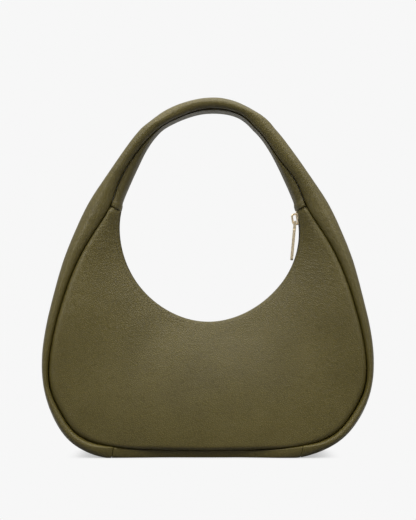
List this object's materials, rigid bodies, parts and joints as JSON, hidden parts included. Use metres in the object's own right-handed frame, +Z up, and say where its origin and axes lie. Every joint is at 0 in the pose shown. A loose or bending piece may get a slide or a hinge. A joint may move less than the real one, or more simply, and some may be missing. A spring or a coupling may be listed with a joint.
{
  "type": "hobo bag",
  "caption": "Crescent leather shoulder bag: two curved panels and one long strip that forms the sides and handle, with a curved zip, its slider and a slim metal pull.",
  "frame": {"origin": "middle of the flat base, on the surface the bag stands on", "axes": "+Z up, towards the top of the handle; the front faces -Y; the closed end of the zip is at +X"},
  "size_m": [0.3324, 0.0882, 0.36],
  "materials": {
    "olive_leather": "pebbled, semi-matt",
    "handle_filling": "soft wadding",
    "handle_webbing": "woven tape",
    "padding": "felted",
    "base_board": "matt sheet",
    "lining_cloth": "twill",
    "zip_tape": "woven",
    "zip_coil": "satin nylon",
    "gold_metal": "polished pale gold plate"
  },
  "bodies": {
    "bag": {"side_and_handle_strip": "olive_leather", "base_piece": "olive_leather", "front_panel": "olive_leather", "back_panel": "olive_leather", "handle_facing": "olive_leather", "handle_core": "handle_filling", "handle_tape": "handle_webbing", "front_padding": "padding", "back_padding": "padding", "side_padding_left": "padding", "side_padding_right": "padding", "base_board": "base_board", "front_lining": "lining_cloth", "back_lining": "lining_cloth", "side_lining": "lining_cloth", "slip_pocket": "lining_cloth", "zip_tape_front": "zip_tape", "zip_tape_back": "zip_tape", "zip_coil_front": "zip_coil", "zip_coil_back": "zip_coil", "zip_stop_open_end": "gold_metal", "zip_stop_closed_end": "gold_metal"},
    "slider": {"zip_slider": "gold_metal", "zip_slider_bail": "gold_metal"},
    "pull": {"zip_pull": "gold_metal"}
  },
  "joints": [
    {"name": "zip_run", "type": "hinge", "parent": "bag", "child": "slider", "pos_m": [0, 0, 0.224], "axis": [0, 1, 0], "range_deg": [0, 198]},
    {"name": "pull_swing", "type": "hinge", "parent": "slider", "child": "pull", "pos_m": [0.08832, 0, 0.23495], "axis": [0, 1, 0], "range_deg": [0, 95]}
  ]
}
